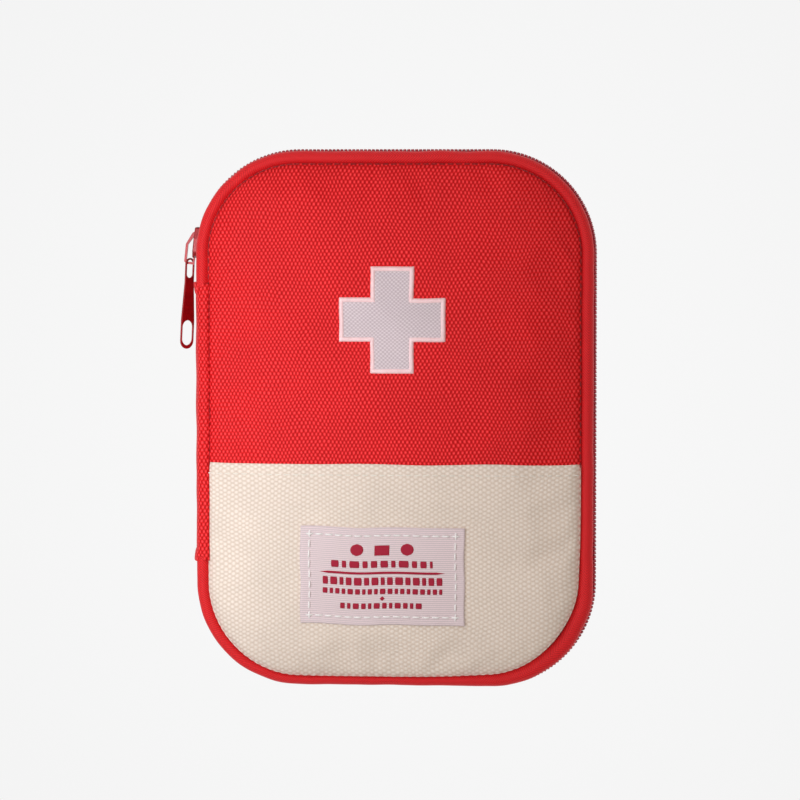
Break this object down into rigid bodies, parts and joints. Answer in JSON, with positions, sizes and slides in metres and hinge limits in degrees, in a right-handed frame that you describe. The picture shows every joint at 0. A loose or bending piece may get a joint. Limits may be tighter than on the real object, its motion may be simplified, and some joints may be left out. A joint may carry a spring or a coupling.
{
  "type": "first aid kit",
  "caption": "Soft zipped first aid pouch that opens like a book, red over cream canvas with a cross patch and sewn label, supplies held in a band and pockets.",
  "frame": {"origin": "middle of the flat back face, which the pouch lies on", "axes": "+X away from the spine, +Y up the front as it is read, +Z out of the front"},
  "size_m": [0.14, 0.18, 0.0277],
  "materials": {
    "red_canvas": "plain weave canvas",
    "cream_canvas": "plain weave canvas",
    "padding": "soft foam",
    "lining": "thin woven nylon",
    "zip_tape": "twill tape",
    "zip_coil": "nylon coil",
    "binding": "ribbed tape",
    "red_metal": "gloss paint",
    "mesh": "knitted mesh",
    "elastic": "woven elastic",
    "patch": "fine weave",
    "patch_border": "satin stitch",
    "label": "woven label",
    "thread": "thread",
    "gauze": "cotton gauze",
    "tape": "cloth tape",
    "core": "smooth",
    "steel": "satin",
    "sachet": "foil",
    "pad_paper": "paper",
    "plaster_paper": "paper"
  },
  "bodies": {
    "back": {"back_panel": "red_canvas", "back_padding": "padding", "back_lining": "lining", "back_zip_tape": "zip_tape", "back_zip_coil": "zip_coil", "back_seam_binding": "binding", "spine_panel": "red_canvas", "spine_lining": "lining", "spine_end_folds": "red_canvas", "slip_pocket": "lining", "slip_pocket_hem": "binding", "elastic_band": "elastic", "bandage_roll_left": "gauze", "bandage_roll_right": "gauze", "tweezers": "steel", "adhesive_tape": "tape", "tape_core": "core", "gauze_pads": "pad_paper", "antiseptic_wipes": "sachet"},
    "cover": {"front_panel_upper": "red_canvas", "front_panel_lower": "cream_canvas", "front_padding": "padding", "front_lining": "lining", "front_zip_tape": "zip_tape", "front_zip_coil": "zip_coil", "front_seam_binding": "binding", "cross_patch": "patch", "cross_border": "patch_border", "label": "label", "label_stitches": "thread", "mesh_pocket": "mesh", "mesh_pocket_hem": "binding", "plasters": "plaster_paper"},
    "slider": {"slider_body": "red_metal", "slider_bail": "red_metal"},
    "pull": {"pull_tab": "red_metal"}
  },
  "joints": [
    {"name": "cover_hinge", "type": "hinge", "parent": "back", "child": "cover", "pos_m": [-0.0676, 0, 0.023], "axis": [0, -1, 0], "range_deg": [0, 189]},
    {"name": "slider_travel", "type": "hinge", "parent": "back", "child": "slider", "pos_m": [-0.0322, 0.055, 0.0132], "axis": [0, 0, -1], "range_deg": [0, 76]},
    {"name": "pull_swing", "type": "hinge", "parent": "slider", "child": "pull", "pos_m": [-0.06955, 0.05319, 0.0132], "axis": [0, 0, -1], "range_deg": [0, 150]}
  ]
}
